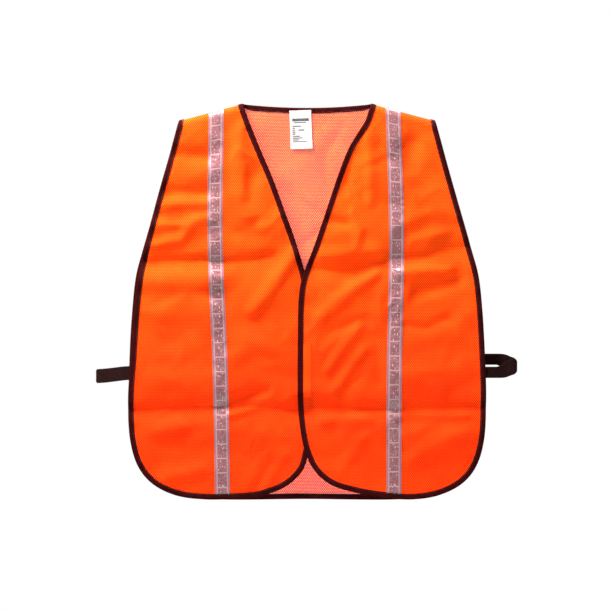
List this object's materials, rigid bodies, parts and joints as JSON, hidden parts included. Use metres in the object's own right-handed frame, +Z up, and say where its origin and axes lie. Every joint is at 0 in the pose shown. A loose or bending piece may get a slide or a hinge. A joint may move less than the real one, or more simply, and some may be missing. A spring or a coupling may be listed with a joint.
{
  "type": "high visibility vest",
  "caption": "Sleeveless mesh safety vest with bound edges, reflective tapes over the shoulders, side elastics and a hook and loop front.",
  "frame": {"origin": "midway between the two neck points, at the shoulder line, where the shoulders carry the vest", "axes": "+Z up, -Y towards the wearer's front, +X towards the wearer's left"},
  "size_m": [0.7165, 0.0256, 0.6737],
  "materials": {
    "mesh_cloth": "matte",
    "edge_binding": "matte",
    "reflective_tape": "gloss",
    "side_elastic": "matte",
    "fastener": "matte",
    "label": "satin"
  },
  "bodies": {
    "back": {"back_panel": "mesh_cloth", "back_neck_binding": "edge_binding", "back_hem_binding": "edge_binding", "back_right_side_binding": "edge_binding", "back_left_side_binding": "edge_binding", "back_right_reflective_tape": "reflective_tape", "back_left_reflective_tape": "reflective_tape", "right_side_elastic": "side_elastic", "left_side_elastic": "side_elastic"},
    "right_front": {"right_front_side_panel": "mesh_cloth", "right_side_binding": "edge_binding", "right_neck_binding": "edge_binding", "right_front_reflective_tape": "reflective_tape"},
    "right_flap": {"right_front_flap_panel": "mesh_cloth", "right_opening_binding": "edge_binding", "hook_strip": "fastener"},
    "left_front": {"left_front_side_panel": "mesh_cloth", "left_side_binding": "edge_binding", "left_neck_binding": "edge_binding", "left_front_reflective_tape": "reflective_tape"},
    "left_flap": {"left_front_flap_panel": "mesh_cloth", "left_opening_binding": "edge_binding", "loop_strip": "fastener"},
    "label": {"neck_label": "label"}
  },
  "joints": [
    {"name": "left_front_lift", "type": "hinge", "parent": "back", "child": "left_front", "pos_m": [0.16389, 0, -0.01305], "axis": [-0.9664, 0, 0.2571], "range_deg": [0, 20], "deforming": ["left_side_elastic"]},
    {"name": "right_front_lift", "type": "hinge", "parent": "back", "child": "right_front", "pos_m": [-0.16389, 0, -0.01305], "axis": [-0.9664, 0, -0.2571], "range_deg": [0, 20], "deforming": ["right_side_elastic"]},
    {"name": "left_flap_fold", "type": "hinge", "parent": "left_front", "child": "left_flap", "pos_m": [0.0984, -0.0154, -0.03], "axis": [0.0244, 0, 0.9997], "range_deg": [0, 150]},
    {"name": "right_flap_fold", "type": "hinge", "parent": "right_front", "child": "right_flap", "pos_m": [-0.0984, -0.0104, -0.03], "axis": [0.0242, 0, -0.9997], "range_deg": [0, 135]},
    {"name": "label_flip", "type": "hinge", "parent": "back", "child": "label", "pos_m": [-0.0105, 0.00695, -0.0104], "axis": [-1, 0, 0], "range_deg": [0, 150]}
  ],
  "couplings": [
    {"joint": "right_front_lift", "follows": "left_front_lift", "ratio": 1},
    {"joint": "right_flap_fold", "follows": "left_flap_fold", "ratio": 0.9}
  ]
}
